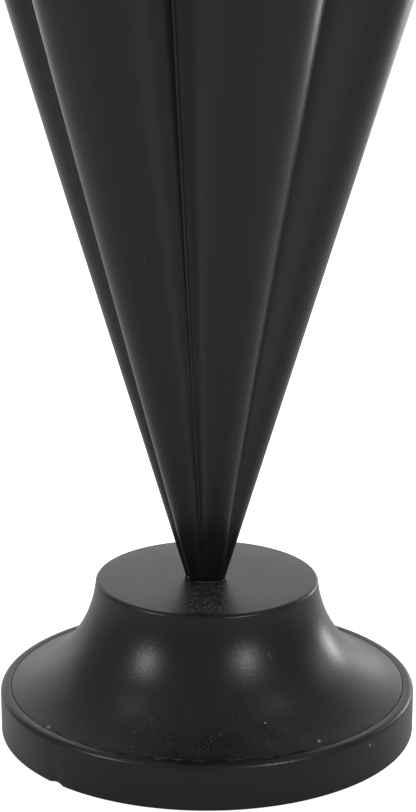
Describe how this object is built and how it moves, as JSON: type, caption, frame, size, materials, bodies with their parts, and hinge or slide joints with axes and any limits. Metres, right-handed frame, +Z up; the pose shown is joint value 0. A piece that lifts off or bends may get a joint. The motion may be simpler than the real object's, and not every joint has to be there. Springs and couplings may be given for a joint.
{
  "type": "ashtray bin",
  "caption": "Floor ashtray bin: lobed inverted-cone body on a flared round weighted base, with a lift-out liner, an open cover ring, an ash bowl and a stub grid.",
  "frame": {"origin": "centre of the base on the floor", "axes": "+Z up along the axis of the base and the cone; one lobe of the cone faces -Y"},
  "size_m": [0.3098, 0.34, 0.6394],
  "materials": {
    "black_enamel": "satin black enamel",
    "cast_iron": "as cast",
    "zinc_steel": "zinc plated",
    "floor_rubber": "matte",
    "liner_steel": "galvanised",
    "cover_enamel": "satin black enamel",
    "bowl_steel": "spun and brushed",
    "knob_steel": "turned"
  },
  "bodies": {
    "stand": {"base_rim": "black_enamel", "base_cove": "black_enamel", "ballast_disc": "cast_iron", "base_plate": "zinc_steel", "floor_ring": "floor_rubber", "plate_screws": "zinc_steel", "tie_rod": "zinc_steel", "rod_washer": "zinc_steel", "rod_nut": "zinc_steel", "tip_socket": "zinc_steel", "gore_1": "black_enamel", "gore_2": "black_enamel", "gore_3": "black_enamel", "gore_4": "black_enamel", "gore_5": "black_enamel", "gore_6": "black_enamel", "mouth_plate": "black_enamel", "mouth_collar": "black_enamel"},
    "liner": {"liner_wall": "liner_steel", "liner_bottom": "liner_steel", "liner_rim": "liner_steel", "liner_grip_1": "liner_steel", "liner_grip_2": "liner_steel"},
    "cover": {"cover_ring": "cover_enamel", "bowl_seat": "cover_enamel", "cover_arm_1": "cover_enamel", "cover_arm_2": "cover_enamel", "cover_arm_3": "cover_enamel"},
    "bowl": {"ash_bowl": "bowl_steel"},
    "grid": {"stub_grid": "bowl_steel", "grid_knob": "knob_steel", "knob_screw": "knob_steel"}
  },
  "joints": [
    {"name": "liner_lift", "type": "slide", "parent": "stand", "child": "liner", "axis": [0, 0, 1], "range_m": [0, 0.24]},
    {"name": "cover_lift", "type": "slide", "parent": "liner", "child": "cover", "axis": [0, 0, 1], "range_m": [0, 0.12]},
    {"name": "bowl_lift", "type": "slide", "parent": "cover", "child": "bowl", "axis": [0, 0, 1], "range_m": [0, 0.08]},
    {"name": "grid_lift", "type": "slide", "parent": "bowl", "child": "grid", "axis": [0, 0, 1], "range_m": [0, 0.06]}
  ]
}
